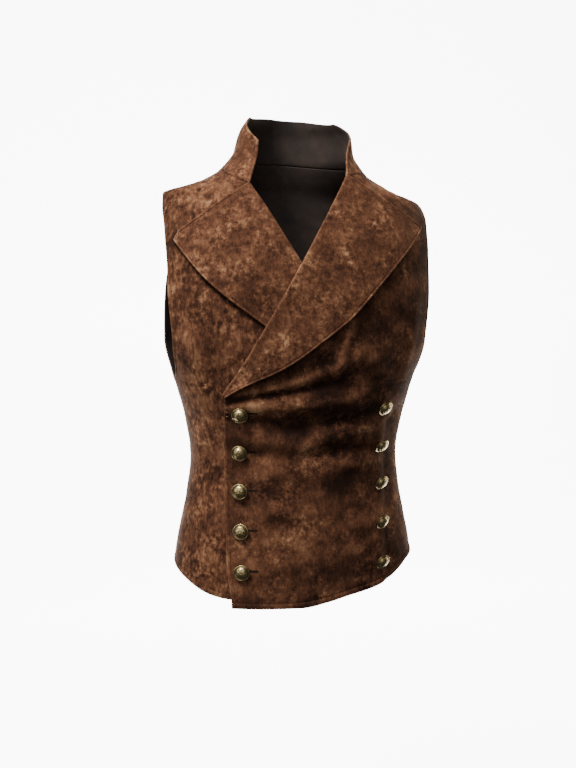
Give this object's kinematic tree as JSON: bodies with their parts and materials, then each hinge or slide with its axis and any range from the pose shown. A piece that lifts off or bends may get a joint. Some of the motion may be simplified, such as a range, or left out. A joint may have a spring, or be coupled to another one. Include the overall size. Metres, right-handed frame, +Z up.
{
  "type": "double-breasted waistcoat",
  "caption": "Hollow double-breasted waistcoat with wide turned-back lapels, a stand collar and two columns of domed metal buttons, held as if worn.",
  "frame": {"origin": "middle of the neck base, level with the inner ends of the shoulder seams, where the wearer's shoulders carry the garment", "axes": "+Z up along the wearer, -Y to the wearer's front, +X to the wearer's left"},
  "size_m": [0.3644, 0.2686, 0.6623],
  "materials": {
    "cloth": "brown short-napped velvet, rubbed and mottled lighter and darker, matte with a soft sheen where it turns away",
    "buttons": "antique brass, darkened in the recesses and worn bright on the raised pattern"
  },
  "bodies": {
    "root": {"front_right": "cloth", "front_left": "cloth", "back_right": "cloth", "back_left": "cloth", "lapel_right": "cloth", "lapel_left": "cloth", "collar": "cloth", "button_right_1": "buttons", "button_right_2": "buttons", "button_right_3": "buttons", "button_right_4": "buttons", "button_right_5": "buttons", "button_left_1": "buttons", "button_left_2": "buttons", "button_left_3": "buttons", "button_left_4": "buttons", "button_left_5": "buttons"}
  },
  "joints": []
}
